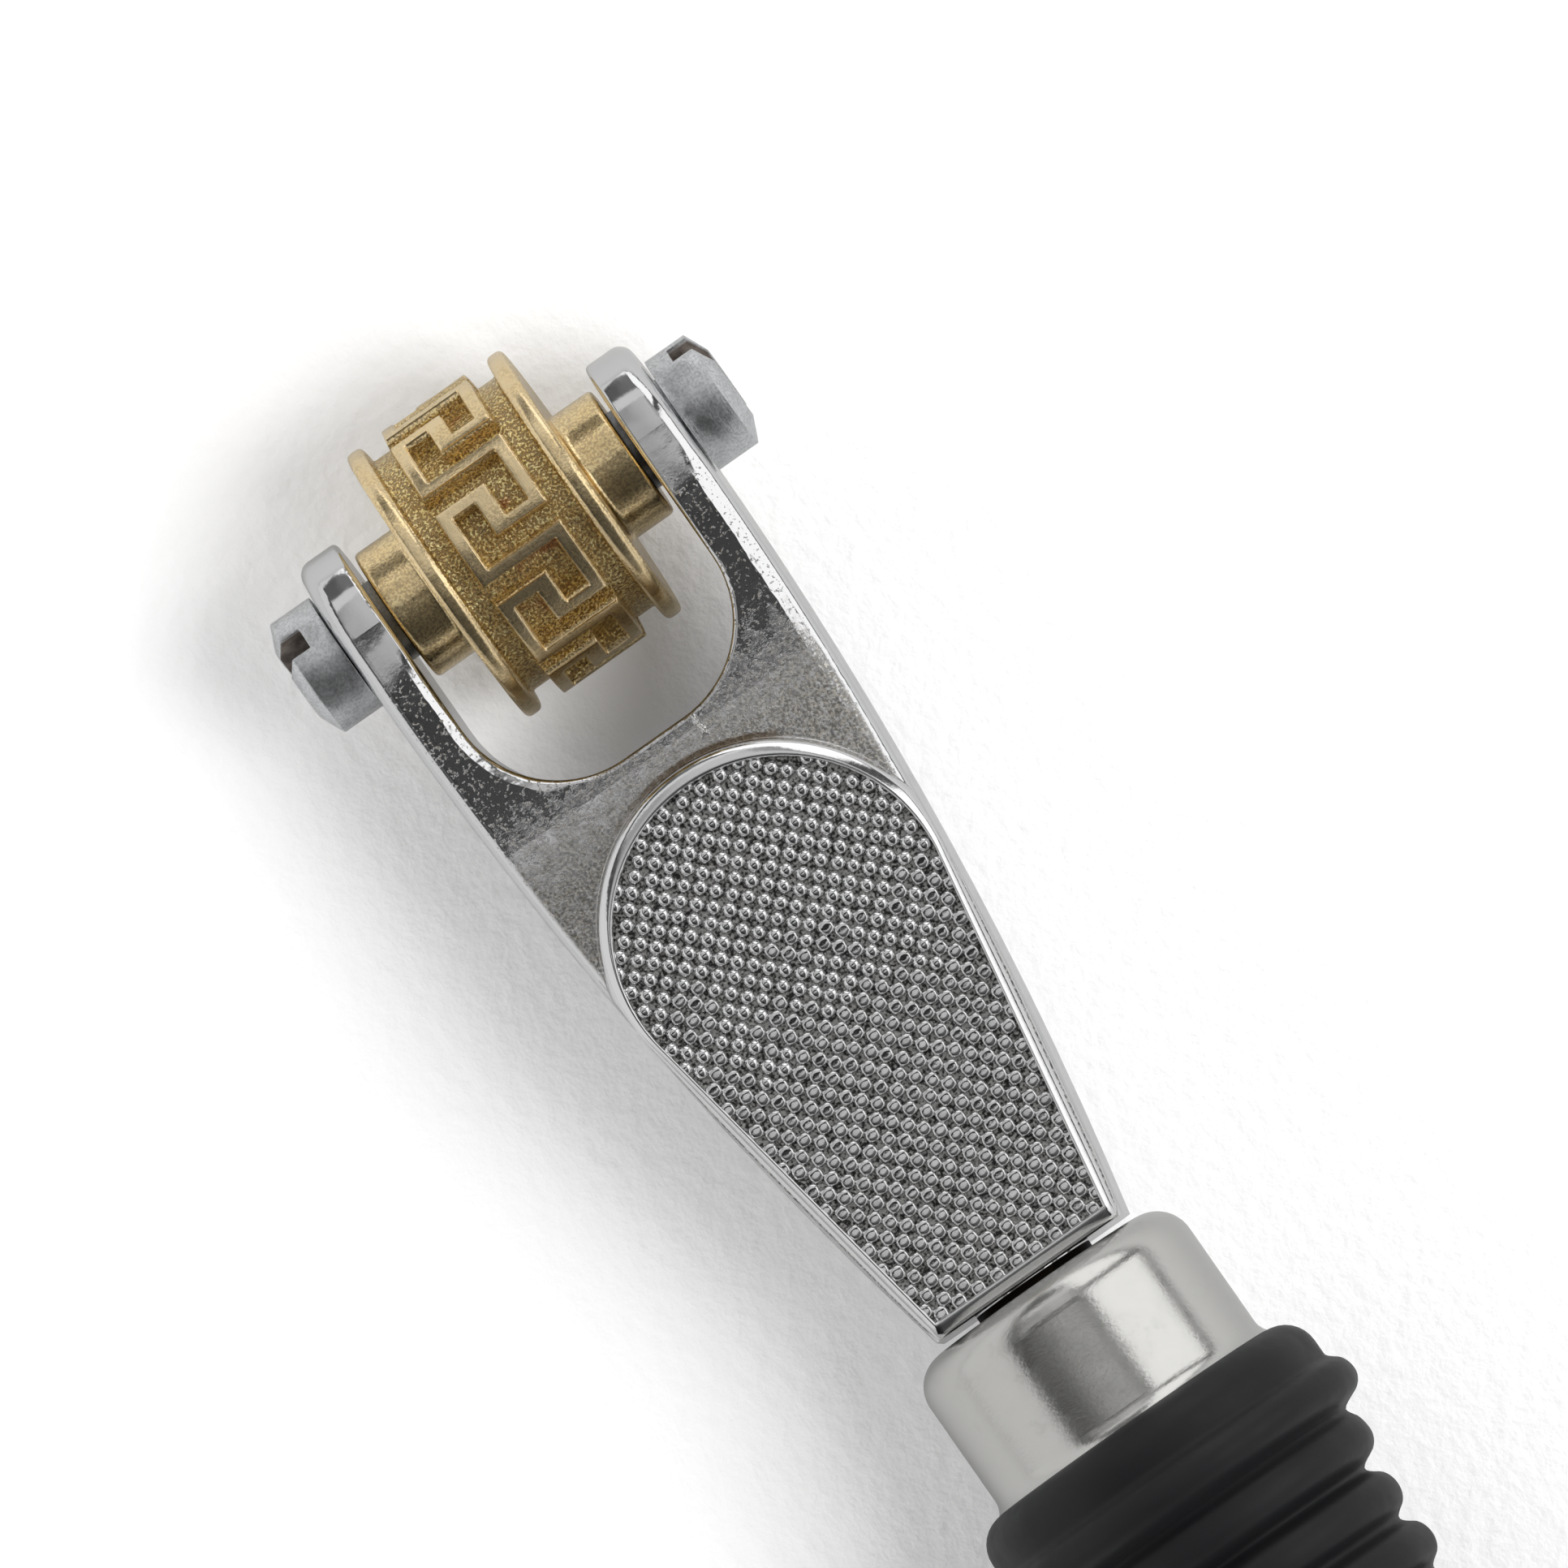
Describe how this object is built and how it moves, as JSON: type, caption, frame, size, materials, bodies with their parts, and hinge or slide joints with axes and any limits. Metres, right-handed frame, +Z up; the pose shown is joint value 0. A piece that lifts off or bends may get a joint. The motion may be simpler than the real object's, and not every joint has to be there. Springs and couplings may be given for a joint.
{
  "type": "hand-held pattern roller",
  "caption": "Hand tool with a plated fork and beaded thumb pad that holds a brass key-pattern roller on a slotted axle, with a ferrule and a ribbed rubber grip.",
  "frame": {"origin": "centre of the whole tool's footprint, on the table that it lies on", "axes": "+X along the tool from the wheel to the butt, +Y along the axle towards the screw head, +Z up, with the thumb pad on top"},
  "size_m": [0.2053, 0.0434, 0.035],
  "materials": {
    "chrome_plate": "plated zinc casting, polished edges, rough as-cast top",
    "brass": "cast and tumbled brass, worn bright on the raised pattern",
    "turned_steel": "turned and tumbled steel",
    "satin_nickel": "satin nickel plate",
    "black_rubber": "moulded black rubber with a soft sheen",
    "core_plastic": "moulded plastic, hidden in the grip",
    "zinc_steel": "zinc plated steel, hidden in the handle"
  },
  "bodies": {
    "handle": {"fork_casting": "chrome_plate", "ferrule": "satin_nickel", "rubber_grip": "black_rubber", "handle_core": "core_plastic", "tang_rod": "zinc_steel", "tang_washer": "zinc_steel", "tang_nut": "zinc_steel"},
    "wheel": {"pattern_wheel": "brass"},
    "axle": {"axle_barrel": "turned_steel"},
    "screw": {"axle_screw": "turned_steel"}
  },
  "joints": [
    {"name": "wheel_spin", "type": "hinge", "parent": "handle", "child": "wheel", "pos_m": [-0.08955, 0, 0.0131], "axis": [0, 1, 0], "continuous": true},
    {"name": "axle_turn", "type": "hinge", "parent": "handle", "child": "axle", "pos_m": [-0.08955, 0, 0.0131], "axis": [0, 1, 0], "continuous": true},
    {"name": "screw_out", "type": "slide", "parent": "axle", "child": "screw", "axis": [0, 1, 0], "range_m": [0, 0.016]}
  ]
}
